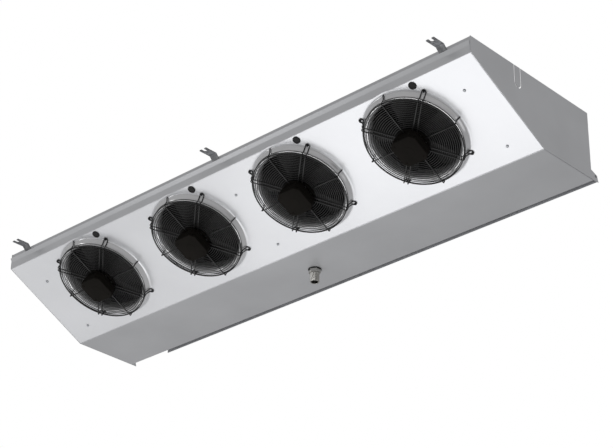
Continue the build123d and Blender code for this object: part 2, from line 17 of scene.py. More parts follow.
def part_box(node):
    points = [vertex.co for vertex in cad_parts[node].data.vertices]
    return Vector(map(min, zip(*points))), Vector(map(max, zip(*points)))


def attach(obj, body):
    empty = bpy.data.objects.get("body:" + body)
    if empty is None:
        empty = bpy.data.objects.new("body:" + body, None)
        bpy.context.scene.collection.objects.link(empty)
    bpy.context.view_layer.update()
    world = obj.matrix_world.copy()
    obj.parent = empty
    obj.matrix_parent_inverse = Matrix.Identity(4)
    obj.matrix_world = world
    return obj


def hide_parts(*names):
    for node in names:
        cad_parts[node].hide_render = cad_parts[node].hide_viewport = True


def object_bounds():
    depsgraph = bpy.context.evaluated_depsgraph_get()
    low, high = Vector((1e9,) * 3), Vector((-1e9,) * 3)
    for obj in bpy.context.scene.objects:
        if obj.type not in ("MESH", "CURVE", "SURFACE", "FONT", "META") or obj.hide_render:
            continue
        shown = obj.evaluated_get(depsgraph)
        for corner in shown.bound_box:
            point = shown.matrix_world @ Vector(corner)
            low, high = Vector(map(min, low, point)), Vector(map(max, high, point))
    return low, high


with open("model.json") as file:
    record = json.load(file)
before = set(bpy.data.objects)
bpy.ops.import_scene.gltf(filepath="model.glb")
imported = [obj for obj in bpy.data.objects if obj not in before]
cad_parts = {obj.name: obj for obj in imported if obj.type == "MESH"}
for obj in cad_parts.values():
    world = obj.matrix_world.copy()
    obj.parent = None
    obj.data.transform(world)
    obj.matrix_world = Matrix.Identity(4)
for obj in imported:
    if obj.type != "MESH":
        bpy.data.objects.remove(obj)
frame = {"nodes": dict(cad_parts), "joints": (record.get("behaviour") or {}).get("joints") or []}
cad_low, cad_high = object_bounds()
nodes = frame["nodes"]
joints = {joint["name"]: joint for joint in frame["joints"]}
print("CAD box in metres:", [round(c, 4) for c in cad_low], [round(c, 4) for c in cad_high])

# %% [markdown]
# ## Camera
# A long lens far from the object keeps its long edges nearly parallel, as in a catalogue. The
# camera stands low at the right and looks up at the fans, rolled by half a degree as a camera on
# a tripod often is. It could be turned by hand, but aiming it with a direction and a tracking
# rotation leaves that one small roll as the only angle to set.

# %% Place the camera
MM = 0.001
SENSOR_WIDTH = 36.0
LENS = 108.96
CAMERA_PLACE = Vector((3.1522, -3.2435, -2.5254))
CAMERA_LOOK = Vector((-0.60407, 0.64269, 0.47123))
CAMERA_ROLL = 0.599        # degrees

camera = bpy.data.objects.new("camera", bpy.data.cameras.new("camera"))
camera.data.sensor_width = SENSOR_WIDTH
camera.data.lens = LENS
camera.data.clip_end = 500.0
camera.location = CAMERA_PLACE
aim = CAMERA_LOOK.to_track_quat("-Z", "Y") @ Quaternion((0, 0, 1), radians(CAMERA_ROLL))
camera.rotation_euler = aim.to_euler()
bpy.context.scene.collection.objects.link(camera)
bpy.context.scene.camera = camera
bpy.context.scene.view_settings.view_transform = "Standard"
middle = (cad_low + cad_high) / 2
print("camera distance to the casing:", round((camera.location - middle).length, 2))

# %% [markdown]
# ## Nodes and colours
# Materials are small networks of nodes. One helper adds a node, sets its sockets and links them,
# so that every material below reads as a list. Colours are written as the hex values a paint
# chart gives, which are sRGB, and turned to the linear values that light is added up in.


# %% Helpers for materials
def linear(colour):
    """Linear RGBA of an sRGB hex colour."""
    channels = [int(colour[i:i + 2], 16) / 255 for i in (1, 3, 5)]
    return [c / 12.92 if c <= 0.04045 else ((c + 0.055) / 1.055) ** 2.4 for c in channels] + [1.0]


def add(tree, kind, inputs=None, **settings):
    """Add a node, give its settings, and fill its inputs with values or with links."""
    node = tree.nodes.new(kind)
    for name, value in settings.items():
        setattr(node, name, value)
    for name, value in (inputs or {}).items():
        if isinstance(value, bpy.types.NodeSocket):
            tree.links.new(value, node.inputs[name])
        else:
            node.inputs[name].default_value = value
    return node


def blank(name):
    """New material, its node tree, its object coordinates in metres and its shader."""
    material = bpy.data.materials.new(name)
    material.use_nodes = True
    tree = material.node_tree
    place = add(tree, "ShaderNodeTexCoord").outputs["Object"]
    return material, tree, place, tree.nodes["Principled BSDF"]


def per_metre(size_mm):
    """Texture scale whose feature is that many millimetres."""
    return 1000.0 / size_mm


def dress(tree, shader, tone, stops, gloss=None, rough=None, height=None, strength=0.0, depth=0.0):
    """Blend a shader's colour between two stops, and spread its roughness and relief if given."""
    blend = add(tree, "ShaderNodeValToRGB", {"Fac": tone})
    for element, (position, colour) in zip(blend.color_ramp.elements, stops):
        element.position = position
        element.color = linear(colour)
    tree.links.new(blend.outputs["Color"], shader.inputs["Base Color"])
    if gloss is not None:
        spread = add(tree, "ShaderNodeMapRange", {"Value": gloss, "To Min": rough[0], "To Max": rough[1]})
        tree.links.new(spread.outputs["Result"], shader.inputs["Roughness"])
    if height is not None:
        bump = add(tree, "ShaderNodeBump", {"Height": height, "Strength": strength, "Distance": depth})
        tree.links.new(bump.outputs["Normal"], shader.inputs["Normal"])


print("white as linear light:", [round(c, 3) for c in linear("#FFFFFF")[:3]])

# %% [markdown]
# ## Coated aluminium sheet
# The casing is aluminium sheet with a light, slightly metallic polyester powder coat. Powder
# melts into a skin with a faint orange peel, a few millimetres from bump to bump, and handling
# leaves wide, barely visible changes of gloss. A flat white would look like paper, so the coat
# keeps some metal under it: each face then takes the tone of what it mirrors, and the sloping
# plate, which mirrors the light below, comes out nearly white. The pressed rings have a glossier
# coat, which draws long highlights round them. They also have a whiter colour than the plate
# around them, which is a painted highlight, as they are pressed from the same sheet.


# %% Sheet materials
def coated_sheet(name, colour, worn, metallic, roughness):
    """Powder coat: a wide haze in its colour and gloss, and fine orange peel in its relief."""
    material, tree, place, shader = blank(name)
    haze = add(tree, "ShaderNodeTexNoise", {"Vector": place, "Scale": per_metre(180), "Detail": 3.0})
    peel = add(tree, "ShaderNodeTexNoise", {"Vector": place, "Scale": per_metre(2.6), "Detail": 1.5})
    shader.inputs["Metallic"].default_value = metallic
    tone = haze.outputs["Fac"]
    dress(tree, shader, tone, [(0.3, worn), (0.7, colour)], tone,
          (roughness - 0.03, roughness + 0.03), peel.outputs["Fac"], 0.03, 0.4 * MM)
    return material


plate_coat = coated_sheet("powder_coated_aluminium_plate", "#EDEEF1", "#E6E7EA", 0.62, 0.36)
casing_coat = coated_sheet("powder_coated_aluminium_casing", "#E4E5E8", "#DCDDE0", 0.62, 0.38)
# The pressed rings are the plate's own sheet: their coat is glossier, and its whiter colour is a painted
# highlight.
mouth_coat_and_highlight = coated_sheet("pressed_ring_coat_with_painted_highlight", "#FAFAFB", "#F0F0F2", 0.55, 0.13)
print("coated sheet:", [m.name for m in (plate_coat, casing_coat, mouth_coat_and_highlight)])

# %% [markdown]
# ## Bare metals
# Inside, the frames are hot-dip galvanised steel, whose zinc grows in flat crystals called
# spangle, about 12 mm across: a Voronoi pattern gives each crystal its own grey. Turned parts
# such as the drain carry fine rings from the lathe. Fins and pipes are plain aluminium and
# copper. Metals keep the default IOR, and their colour is the colour of their reflection.


# %% Metal materials
def plain_metal(name, colour, dull, roughness, grain_mm, stretch=(1.0, 1.0, 1.0), relief=0.1):
    """Metal with one fine grain, drawn out along an axis if wanted, in colour, gloss and relief."""
    material, tree, place, shader = blank(name)
    drawn = add(tree, "ShaderNodeMapping", {"Vector": place, "Scale": stretch}).outputs["Vector"]
    settings = {"Vector": drawn, "Scale": per_metre(grain_mm), "Detail": 4.0}
    grain = add(tree, "ShaderNodeTexNoise", settings).outputs["Fac"]
    shader.inputs["Metallic"].default_value = 1.0
    dress(tree, shader, grain, [(0.35, dull), (0.65, colour)], grain,
          (roughness - 0.06, roughness + 0.06), grain, relief, 0.3 * MM)
    return material


def galvanised_steel():
    """Zinc with its crystals, each in its own grey."""
    material, tree, place, shader = blank("hot_dip_galvanised_steel")
    spangle = add(tree, "ShaderNodeTexVoronoi", {"Vector": place, "Scale": per_metre(12)})
    tone = add(tree, "ShaderNodeSeparateColor", {"Color": spangle.outputs["Color"]}).outputs["Red"]
    shader.inputs["Metallic"].default_value = 1.0
    dress(tree, shader, tone, [(0.0, "#8C9093"), (1.0, "#B4B8BB")], tone, (0.38, 0.55))
    return material


ALONG_FINS, ALONG_TUBES, LATHE_RINGS = (1, 1, 12), (0.2, 1, 1), (0.15, 0.15, 3.0)
zinc_steel = galvanised_steel()
bracket_metal = plain_metal("zinc_nickel_plated_steel", "#A9AAAC", "#87888B", 0.32, 9.0)
fin_metal = plain_metal("rolled_aluminium_fin", "#D4D6D8", "#BFC2C5", 0.32, 14.0, ALONG_FINS)
copper_metal = plain_metal("drawn_copper_tube", "#C98462", "#9A5E43", 0.34, 22.0, ALONG_TUBES)
screw_metal = plain_metal("bright_zinc_plated_steel", "#B9BCBF", "#A2A5A9", 0.3, 3.0)
dark_metal = plain_metal("black_phosphated_steel", "#3A3A3C", "#262627", 0.45, 3.0)
drain_metal = plain_metal("nickel_plated_brass", "#CBCAC6", "#BAB9B5", 0.2, 3.0, LATHE_RINGS, 0.05)
metals = (zinc_steel, bracket_metal, fin_metal, copper_metal, screw_metal, dark_metal, drain_metal)
print("metals:", [m.name for m in metals])

# %% [markdown]
# ## Black parts
# The guards are welded wire dipped in black epoxy, smooth and fairly glossy. The motors are cast
# aluminium under matt black paint with the fine pebble of the casting. The rotors are pressed
# blades in satin black, and the grommets are soft rubber, which has no sharp highlight at all.
# Overhead in the fan chamber, the faces that look down are given matt black as painted shade,
# so that the gaps between the blades stay dark.


# %% Black materials
def black_finish(name, colour, lighter, roughness, grain_mm, relief, coat=0.0, specular=0.5):
    """Paint, plastic or rubber: a fine grain in its gloss and relief, wide dust in its colour."""
    material, tree, place, shader = blank(name)
    settings = {"Vector": place, "Scale": per_metre(grain_mm), "Detail": 3.0}
    grain = add(tree, "ShaderNodeTexNoise", settings).outputs["Fac"]
    dust = add(tree, "ShaderNodeTexNoise", {"Vector": place, "Scale": per_metre(60), "Detail": 2.0})
    shader.inputs["Coat Weight"].default_value = coat
    shader.inputs["Coat Roughness"].default_value = 0.2
    shader.inputs["Specular IOR Level"].default_value = specular
    dress(tree, shader, dust.outputs["Fac"], [(0.35, colour), (0.7, lighter)], grain,
          (roughness - 0.05, roughness + 0.05), grain, relief, 0.4 * MM)
    return material


wire_epoxy = black_finish("black_epoxy_coated_wire", "#070707", "#0B0B0B", 0.3, 4.0, 0.05,
                          coat=0.25, specular=0.6)
motor_paint = black_finish("matt_black_painted_casting", "#1A1815", "#1F1C19", 0.7, 1.2, 0.25,
                           specular=0.08)
rotor_paint = black_finish("satin_black_pressed_blade", "#080706", "#0C0B0A", 0.42, 7.0, 0.06,
                           specular=0.22)
# Matt black that stands for shade: it goes on the roof's faces that look down into the fan chamber.
chamber_painted_shade = black_finish("matt_black_chamber_lining", "#0A0A0A", "#0E0E0E", 0.8, 3.0, 0.1,
                              specular=0.1)
soft_rubber = black_finish("black_moulded_rubber", "#111111", "#1A1A1A", 0.6, 2.0, 0.1)
box_shell = black_finish("grey_moulded_polycarbonate", "#8E9294", "#989C9E", 0.45, 1.6, 0.1)
finishes = (wire_epoxy, motor_paint, rotor_paint, chamber_painted_shade, soft_rubber, box_shell)
print("black and grey finishes:", [m.name for m in finishes])

# %% [markdown]
# ## Places
# Every place comes from the CAD model: corners from the boxes of its nodes, and the fan axes from
# its joints. Sizes too small to be read that way, such as a bend's radius, are named in
# millimetres where they are first used.

# %% Read the main places
left_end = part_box("end_panel_left")[0].x
right_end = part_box("end_panel_right")[1].x
front_face, top_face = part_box("end_panel_right")[0].y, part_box("end_panel_right")[1].z
tray_low, tray_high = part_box("drip_tray")
bottom_face = tray_low.z
SHEET, BEND = 1.2 * MM, 2.0 * MM       # thickness, and outside radius of a fold
LIP_DROP = 48.2 * MM
lip_edge = top_face - LIP_DROP
slope_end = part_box("fan_plate")[1].y
plate_left, plate_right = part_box("fan_plate")[0].x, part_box("fan_plate")[1].x
slope_angle = atan2(lip_edge - bottom_face, slope_end - front_face)
slope_length = hypot(lip_edge - bottom_face, slope_end - front_face)
AXIS_HEIGHT = 30.0 * MM    # the joints are stated this far in front of the plate


def on_plate(x, down, height=0.0):
    """Point on the fan plate: along the casing, down the slope and out from its face."""
    return Vector((x, front_face + down * cos(slope_angle) - height * sin(slope_angle),
                   lip_edge - down * sin(slope_angle) - height * cos(slope_angle)))


def plate_frame(x, down):
    """Matrix whose Z points out of the plate, and whose Y points up the slope."""
    out = Vector((0, -sin(slope_angle), -cos(slope_angle)))
    up = out.cross(Vector((1, 0, 0)))
    columns = Matrix(((1, 0, 0), up, out)).transposed()
    return Matrix.Translation(on_plate(x, down)) @ columns.to_4x4()


fan_places = []
for number in range(1, 5):
    pivot = Vector(joints[f"fan_spin_{number}"]["pos_m"])
    down = (pivot.y - front_face + AXIS_HEIGHT * sin(slope_angle)) / cos(slope_angle)
    fan_places.append((number, pivot.x, down, plate_frame(pivot.x, down)))
axes = [(round(x / MM, 1), round(down / MM, 1)) for _, x, down, _ in fan_places]
print("fan axes, mm along and down the slope:", axes)
print("slope in degrees:", round(slope_angle * 180 / pi, 2))

# %% [markdown]
# ## Building helpers
# Most of the object is made in one of four ways: a sheet folded along a line, a profile turned on
# an axis, a round wire along a path, or a CAD shape whose edges are softened. Real edges are never
# knife sharp, and it is the small bright line along them that tells the eye that a part is metal.


# %% Helpers for pieces and meshes
WELD, LOOSE_WELD = 1e-6, 1e-5          # points closer than this are one
FLAT_ANGLE, EDGE_ANGLE = 1.0, 40.0     # degrees between faces: one plane, and an edge to soften


def piece(name, mesh_or_curve, body, material, slot, *replaced):
    """Put new geometry in the scene, riding on a body, and hide the CAD nodes it stands for."""
    thing = bpy.data.objects.new(name, mesh_or_curve)
    bpy.context.scene.collection.objects.link(thing)
    mesh_or_curve.materials.clear()
    mesh_or_curve.materials.append(material)
    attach(thing, body)
    for node in replaced:
        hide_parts(node)
    return thing


def smooth(mesh, angle=32):
    """Smooth shading that breaks at edges sharper than the angle."""
    mesh.polygons.foreach_set("use_smooth", [True] * len(mesh.polygons))
    mesh.set_sharp_from_angle(angle=radians(angle))
    return mesh

def applied(thing):
    """Mesh of a piece with its modifiers worked out, which are then taken off the piece."""
    bpy.context.view_layer.update()
    mesh = bpy.data.meshes.new_from_object(thing.evaluated_get(bpy.context.evaluated_depsgraph_get()))
    thing.modifiers.clear()
    return mesh


def to_mesh(work, name):
    """Turn a bmesh into a clean mesh with its faces turned outwards."""
    bmesh.ops.remove_doubles(work, verts=work.verts, dist=WELD)
    bmesh.ops.recalc_face_normals(work, faces=work.faces)
    mesh = bpy.data.meshes.new(name)
    work.to_mesh(mesh)
    work.free()
    return smooth(mesh)


def softened(node, body, material, slot, width):
    """CAD node with its flat faces joined again and its edges bevelled by a width in mm."""
    work = bmesh.new()
    work.from_mesh(nodes[node].data)
    bmesh.ops.remove_doubles(work, verts=work.verts, dist=LOOSE_WELD)
    bmesh.ops.dissolve_limit(work, angle_limit=radians(FLAT_ANGLE), verts=work.verts, edges=work.edges)
    sharp = [edge for edge in work.edges
             if len(edge.link_faces) == 2 and edge.calc_face_angle(0) > radians(EDGE_ANGLE)]
    bmesh.ops.bevel(work, geom=sharp, offset=width * MM, segments=2, profile=0.5, affect="EDGES",
                    clamp_overlap=True)
    thing = piece(f"{node}_soft", to_mesh(work, node), body, material, slot, node)
    thing.modifiers.new("flat faces stay flat", "WEIGHTED_NORMAL").keep_sharp = True
    return thing


# %% Helpers for turned and folded shapes
def polar(radius, share, height):
    """Point at a radius, a share of a full turn, and a height."""
    return Vector((radius * cos(tau * share), radius * sin(tau * share), height))


def turned_ring(work, at, radii, height):
    """Loop of vertices about the local Z axis, in mm, with one radius for each step round."""
    return [work.verts.new(at @ (polar(radius, i / len(radii), height) * MM))
            for i, radius in enumerate(radii)]


def bridge(work, loops, endless=False):
    """Join closed loops of vertices by quads, and the last loop to the first if endless."""
    for a, b in zip(loops, loops[1:] + (loops[:1] if endless else [])):
        for i in range(len(a)):
            j = (i + 1) % len(a)
            work.faces.new((a[i], a[j], b[j], b[i]))


def turned(profile, steps=64, at=Matrix.Identity(4), work=None):
    """Closed (radius, height) outline in mm, turned about the local Z axis."""
    work = work or bmesh.new()
    loops = [turned_ring(work, at, [radius] * steps, height) for radius, height in profile]
    bridge(work, loops, endless=True)
    return work


def rounded(points, radius, steps=5):
    """Line of points with its corners replaced by smooth bends, as wide as its legs allow."""
    line = [Vector(points[0])]
    for before, corner, after in zip(points, points[1:], points[2:]):
        before, corner, after = Vector(before), Vector(corner), Vector(after)
        reach = min(radius, (before - corner).length / 2, (after - corner).length / 2)
        a = corner + (before - corner).normalized() * reach
        b = corner + (after - corner).normalized() * reach
        for i in range(steps + 1):
            t = i / steps
            line.append(a * (1 - t) ** 2 + corner * 2 * t * (1 - t) + b * t * t)
    return line + [Vector(points[-1])]


def thickened(line, thickness):
    """Second side of an open line, to its left, mitred at every point."""
    normals = [Vector(((a - b).y, (b - a).x)).normalized() for a, b in zip(line, line[1:])]
    inner = []
    for i, point in enumerate(line):
        a, b = normals[max(i - 1, 0)], normals[min(i, len(normals) - 1)]
        inner.append(point + (a + b) * thickness / (1 + a.dot(b)))
    return inner


def folded_sheet(points, x0, x1, thickness=SHEET, work=None):
    """Sheet folded along X: its outer line is given, and its thickness lies to the left."""
    work = work or bmesh.new()
    line = rounded(points, BEND)
    outline = line + thickened(line, thickness)[::-1]
    ends = [[work.verts.new((x, p.x, p.y)) for p in outline] for x in (x0, x1)]
    bridge(work, ends)
    count = len(outline)
    for end in ends:
        for i in range(count // 2 - 1):
            work.faces.new((end[i], end[i + 1], end[count - 2 - i], end[count - 1 - i]))
    return work


# %% Helpers for wires
def wires(name, paths, radius_mm, at, closed=False):
    """Round wires in one curve: each path is a list of points in mm in a local frame."""
    curve = bpy.data.curves.new(name, "CURVE")
    curve.dimensions = "3D"
    curve.bevel_depth = radius_mm * MM
    curve.bevel_resolution = 3
    curve.use_fill_caps = True
    for path in paths:
        spline = curve.splines.new("POLY")
        spline.points.add(len(path) - 1)
        for point, place in zip(spline.points, path):
            point.co = (*(at @ (Vector(place) * MM)), 1.0)
        spline.use_cyclic_u = closed
    return curve


def circle(radius, height, steps=96):
    """Points of a circle about the local Z axis."""
    return [polar(radius, i / steps, height) for i in range(steps)]


def turn(points, degrees):
    """Points turned about the local Z axis."""
    rotation = Matrix.Rotation(radians(degrees), 3, "Z")
    return [rotation @ Vector(point) for point in points]


print("helpers ready: sheets, turned shapes and wires")

# %% [markdown]
# ## Fan plate
# The plate is one sheet: a flared hem, the upright front lip, the long slope, and a fold at its
# rear. Each fan's bell-mouth is drawn up from the same sheet: a soft fillet leaves the flat, rises
# 14 mm, rolls over and turns down into the throat, so that the air enters without tearing loose.
# A boolean cut would leave ragged shading round the rings. Here each fan gets a square cell whose
# edge points are joined to a circle by clean quads, and the ring's profile goes on from there.
# The thickness is worked out before the shading is set, so that sharp edges are looked for on the
# finished sheet.

# %% Fan plate helpers
CELL_STEPS = 26            # points along one side of a fan's cell
MOUTH_EDGE = 141 * MM      # the glossier coat of a pressed ring starts here; its whiter colour is a painted highlight
MOUTH_PROFILE = [          # (radius, height) of the sheet's outer face, mm
    (148, 0), (145, 0.1), (142.5, 0.5), (140.2, 1.6), (138.4, 3.4), (137, 5.6), (135.6, 8.2),
    (134, 10.6), (132, 12.6), (129.6, 13.8), (127, 14.0), (124.4, 13.1), (122.2, 11.3),
    (120.2, 8.6), (118.6, 5.2), (117.8, 1.8), (117.5, -2.5), (117.5, -9), (117.5, -16)]


def slope_sheet(work, low, high):
    """Slope between two distances down from the lip, with a ring for every fan."""
    pitch = fan_places[1][1] - fan_places[0][1]
    edges_x = [fan_places[0][1] - pitch / 2 + pitch * i for i in range(len(fan_places) + 1)]
    lines = [low + (high - low) * i / CELL_STEPS for i in range(CELL_STEPS + 1)]
    for x0, x1 in ((plate_left, edges_x[0]), (edges_x[-1], plate_right)):
        for a, b in zip(lines, lines[1:]):
            corners = ((x0, a), (x1, a), (x1, b), (x0, b))
            work.faces.new([work.verts.new(on_plate(x, down)) for x, down in corners])
    for (_, x, down, _), x0, x1 in zip(fan_places, edges_x, edges_x[1:]):
        across = [x0 + (x1 - x0) * i / CELL_STEPS for i in range(CELL_STEPS + 1)]
        border = ([(a, low) for a in across[:-1]] + [(x1, d) for d in lines[:-1]]
                  + [(a, high) for a in across[:0:-1]] + [(x0, d) for d in lines[:0:-1]])
        previous = [work.verts.new(on_plate(a, d)) for a, d in border]
        for radius, height in MOUTH_PROFILE:
            ring = []
            for a, d in border:
                toward = Vector((a - x, d - down)).normalized() * radius * MM
                ring.append(work.verts.new(on_plate(x + toward.x, down + toward.y, height * MM)))
            bridge(work, [previous, ring])
            previous = ring
    top_edge = on_plate(0, low).z
    return sorted({v.co.x for v in work.verts if abs(v.co.z - top_edge) < LOOSE_WELD})


def swept_fold(work, line, stations):
    """Folded strip along X with the same stations as the slope, so that no crack shows."""
    rows = [[work.verts.new((x, p.x, p.y)) for x in stations] for p in line]
    for a, b in zip(rows, rows[1:]):
        for i in range(len(stations) - 1):
            work.faces.new((a[i], a[i + 1], b[i + 1], b[i]))


# %% Fan plate
HEM_REACH, HEM_DROP, HEM_HEIGHT, REAR_FOLD = 5.5 * MM, 27 * MM, 11.5 * MM, 14 * MM
hem_fold = top_face - HEM_DROP
half_way = tuple(on_plate(0, slope_length / 2).yz)
front_line = [(front_face - HEM_REACH, hem_fold + HEM_HEIGHT), (front_face, hem_fold),
              (front_face, lip_edge), half_way]
rear_line = [half_way, (slope_end, bottom_face), (slope_end, bottom_face + REAR_FOLD)]
work = bmesh.new()
stations = slope_sheet(work, BEND, slope_length - BEND)
swept_fold(work, rounded(front_line, BEND)[:-1], stations)
swept_fold(work, rounded(rear_line, BEND)[1:], stations)
bmesh.ops.remove_doubles(work, verts=work.verts, dist=2 * WELD)
bmesh.ops.recalc_face_normals(work, faces=work.faces)
lip_face = min(work.faces, key=lambda face: face.calc_center_median().y)
if lip_face.normal.y > 0:
    bmesh.ops.reverse_faces(work, faces=work.faces)
mesh = bpy.data.meshes.new("fan_plate_sheet")
work.to_mesh(mesh)
work.free()
plate = piece("fan_plate_sheet", mesh, "fan_tray", plate_coat, "sheet_white", "fan_plate")
solid = plate.modifiers.new("sheet thickness", "SOLIDIFY")
solid.thickness, solid.offset = SHEET, -1.0
plate.data = smooth(applied(plate), 35)
plate.modifiers.new("flat faces stay flat", "WEIGHTED_NORMAL").keep_sharp = True
plate.data.materials.append(mouth_coat_and_highlight)
# Faces of the pressed rings take the glossier coat, whose whiter colour is a painted highlight.
into_fans = [at.inverted() for _, _, _, at in fan_places]
for face in plate.data.polygons:
    if any((into @ face.center).xy.length < MOUTH_EDGE for into in into_fans):
        face.material_index = 1
print("fan plate faces:", len(plate.data.polygons))

# %% [markdown]
# ## Drip tray and rails
# The tray and the rails are plain folded sheet, so each is one folded line drawn along X. The
# tray's rear edge is folded into a hook over the hinge rod, and stops short at the pipe end.

# %% Tray and rails
TRAY_RIM, HOOK_WIDTH, HOOK_TAIL = 14 * MM, 17 * MM, 16 * MM
HOOK_START = 145 * MM      # the rear edge has no hook up to here, at the pipe end
hook_top = tray_high.z
hook_front = tray_high.y - HOOK_WIDTH
hook_left = left_end + HOOK_START
base = [(tray_low.y, bottom_face + TRAY_RIM), (tray_low.y, bottom_face), (hook_front, bottom_face)]
upright = base + [(hook_front, hook_top)]
hook = upright + [(tray_high.y, hook_top), (tray_high.y, hook_top - HOOK_TAIL)]
work = folded_sheet(upright, tray_low.x, hook_left)
folded_sheet(hook, hook_left, tray_high.x, work=work)
RIM_STEP, RIM_INSET = 0.02 * MM, 2 * MM
rim_front, rim_rear = tray_low.y + RIM_INSET, hook_front - RIM_INSET
rim_low, rim_high = bottom_face + RIM_STEP, bottom_face + TRAY_RIM
rim = ((rim_front, rim_low), (rim_rear, rim_low), (rim_rear, rim_high), (rim_front, rim_high))
for x0, x1 in ((tray_low.x, tray_low.x + SHEET), (tray_high.x - SHEET, tray_high.x)):
    sides = [[work.verts.new((x, y, z)) for y, z in rim] for x in (x0, x1)]
    bridge(work, sides)
    for side in sides:
        work.faces.new(side)
piece("drip_tray_folded", to_mesh(work, "drip_tray_folded"), "fan_tray", casing_coat, "sheet_white",
      "drip_tray")

RAIL_GAP = 0.1 * MM        # between the lip's inner face and the front rail
for node in ("front_rail", "rear_rail"):
    low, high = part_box(node)
    front = node == "front_rail"
    face, far = (front_face + SHEET + RAIL_GAP, high.y) if front else (high.y, low.y)
    line = [(face, low.z), (face, high.z), (far, high.z)]
    work = folded_sheet(line, low.x, high.x, -SHEET if front else SHEET)
    piece(f"{node}_folded", to_mesh(work, node), "casing", casing_coat, "sheet_grey", node)
for node in ("end_panel_left", "end_panel_right"):
    softened(node, "casing", casing_coat, "sheet_grey", 0.3)

LOOKS_DOWN = -0.9          # height of a face's normal, below which the face gets the painted shade
roof = softened("top_panel", "casing", casing_coat, "sheet_grey", 0.3)
# The roof's faces that look down get the matt black, which is painted shade that keeps the gaps between
# the blades dark.
roof.data.materials.append(chamber_painted_shade)
for face in roof.data.polygons:
    face.material_index = 1 if face.normal.z < LOOKS_DOWN else 0
print("folded sheets: tray, 2 rails, 2 end panels and top panel")

# %% [markdown]
# ## Frames and hanging brackets
# The three frames and six hanging brackets keep their CAD shape, which is right already. They only
# need the small radius that shears and presses leave on an edge.

# %% Frames, brackets, rod and terminal box
for side in ("left", "centre", "right"):
    softened(f"frame_{side}", "casing", zinc_steel, "galvanised", 0.25)
    for end in ("front", "rear"):
        softened(f"bracket_{end}_{side}", "casing", bracket_metal, "bracket_steel", 0.5)
softened("hinge_rod", "casing", bracket_metal, "bracket_steel", 0.6)
softened("terminal_box", "casing", box_shell, "box_plastic", 0.6)
softened("terminal_lid", "casing", box_shell, "box_plastic", 0.8)
softened("motor_spacers", "fan_tray", screw_metal, "zinc", 0.3)
print("softened: 3 frames, 6 brackets, rod, terminal box and motor spacers")

# %% [markdown]
# ## Wire guards
# A guard is a welded basket. Fine rings are spaced so that a finger can't pass, four single spokes
# run on the axes and bend back over the rim, and four double spokes run on the diagonals. Each
# double ends in a flat loop on the plate, with a screw through it. Three more rings close the side
# below the rim. Round wires are curves with a bevel, because a curve keeps every bend smooth and
# its points say what the wire does.

# %% Guard wires
WIRE, THICK_WIRE = 0.95, 1.5           # radius of a ring and of a spoke
FIRST_RING, LAST_RING, RINGS = 50.0, 128.5, 15
GUARD_LEVEL, SPOKE_LEVEL = 29.6, 32.1
RIM, SIDE_RINGS = 134.0, ((26.8, 1.5), (24.0, 1.3), (17.5, 0.9))    # (level, wire radius)
SPOKE_START, SPOKE_HALF = 39.0, 5.4    # inner end, and half the width of a double spoke
LANDING, LOOP_END, LOOP_LEVEL = 142.0, 146.6, 1.7
SINGLE_SPOKE = [(SPOKE_START, 0, SPOKE_LEVEL), (RIM + 2.0, 0, SPOKE_LEVEL), (RIM + 1.2, 0, 14.0),
                (142.6, 0, 1.6)]
DOUBLE_SIDE = [(SPOKE_START, SPOKE_HALF, SPOKE_LEVEL), (RIM + 1.6, SPOKE_HALF, SPOKE_LEVEL),
               (RIM + 1.6, SPOKE_HALF, 15.0), (LANDING, SPOKE_HALF, LOOP_LEVEL),
               (LOOP_END, SPOKE_HALF, LOOP_LEVEL)]
SINGLE_BEND, DOUBLE_BEND, BEND_STEPS, LOOP_STEPS = 1.8, 4.0, 6, 12

single = rounded(SINGLE_SPOKE, SINGLE_BEND, BEND_STEPS)
there = rounded(DOUBLE_SIDE, DOUBLE_BEND, BEND_STEPS)
loop = [Vector((LOOP_END + SPOKE_HALF * sin(pi * i / LOOP_STEPS),
                SPOKE_HALF * cos(pi * i / LOOP_STEPS), LOOP_LEVEL)) for i in range(1, LOOP_STEPS)]
back = [Vector((point.x, -point.y, point.z)) for point in reversed(there)]
spokes = []
for quarter in range(4):
    spokes += [turn(single, 90 * quarter), turn(there + loop + back, 90 * quarter + 45)]
ring_step = (LAST_RING - FIRST_RING) / (RINGS - 1)
rings = [circle(FIRST_RING + ring_step * i, GUARD_LEVEL) for i in range(RINGS)]
print("wires of a guard:", len(rings), "face rings and", len(spokes), "spokes")

# %% Guards
MOTOR_PLATE = [(12.5, 28.9), (43.2, 28.9), (44, 29.4), (44, 30.6), (43.2, 31.1), (12.5, 31.1),
               (12, 30.6), (12, 29.4)]


def guard_wires(name, paths, radius, at, node, closed=False):
    """Wires of a guard as one piece that stands for one of its CAD nodes."""
    piece(name, wires(name, paths, radius, at, closed), "fan_tray", wire_epoxy, "black_wire", node)


for number, _, _, at in fan_places:
    guard_wires(f"guard_rings_{number}_round", rings, WIRE, at, f"guard_rings_{number}", closed=True)
    for level, radius in SIDE_RINGS:
        guard_wires(f"guard_side_ring_{number}_at_{level:.0f}", [circle(RIM - radius, level)], radius,
                    at, f"guard_rings_{number}", closed=True)
    guard_wires(f"fan_guard_{number}_spokes", spokes, THICK_WIRE, at, f"fan_guard_{number}")
    motor_plate = to_mesh(turned(MOTOR_PLATE, 64, at), "guard_motor_plate")
    piece(f"guard_motor_plate_{number}", motor_plate, "fan_tray", motor_paint, "black_wire",
          f"fan_guard_{number}")
print("guards:", len(fan_places), "with", RINGS + len(SIDE_RINGS), "rings each")

# %% [markdown]
# ## Motors
# The motor is a small square casting with cut corners. Its front cover is a separate lid held by
# four screws, with a shallow round boss over the bearing, and thin ribs run round its sides. The
# block is built from one outline lifted through several heights, so grooves and lids are steps of
# the same solid and stay clean.

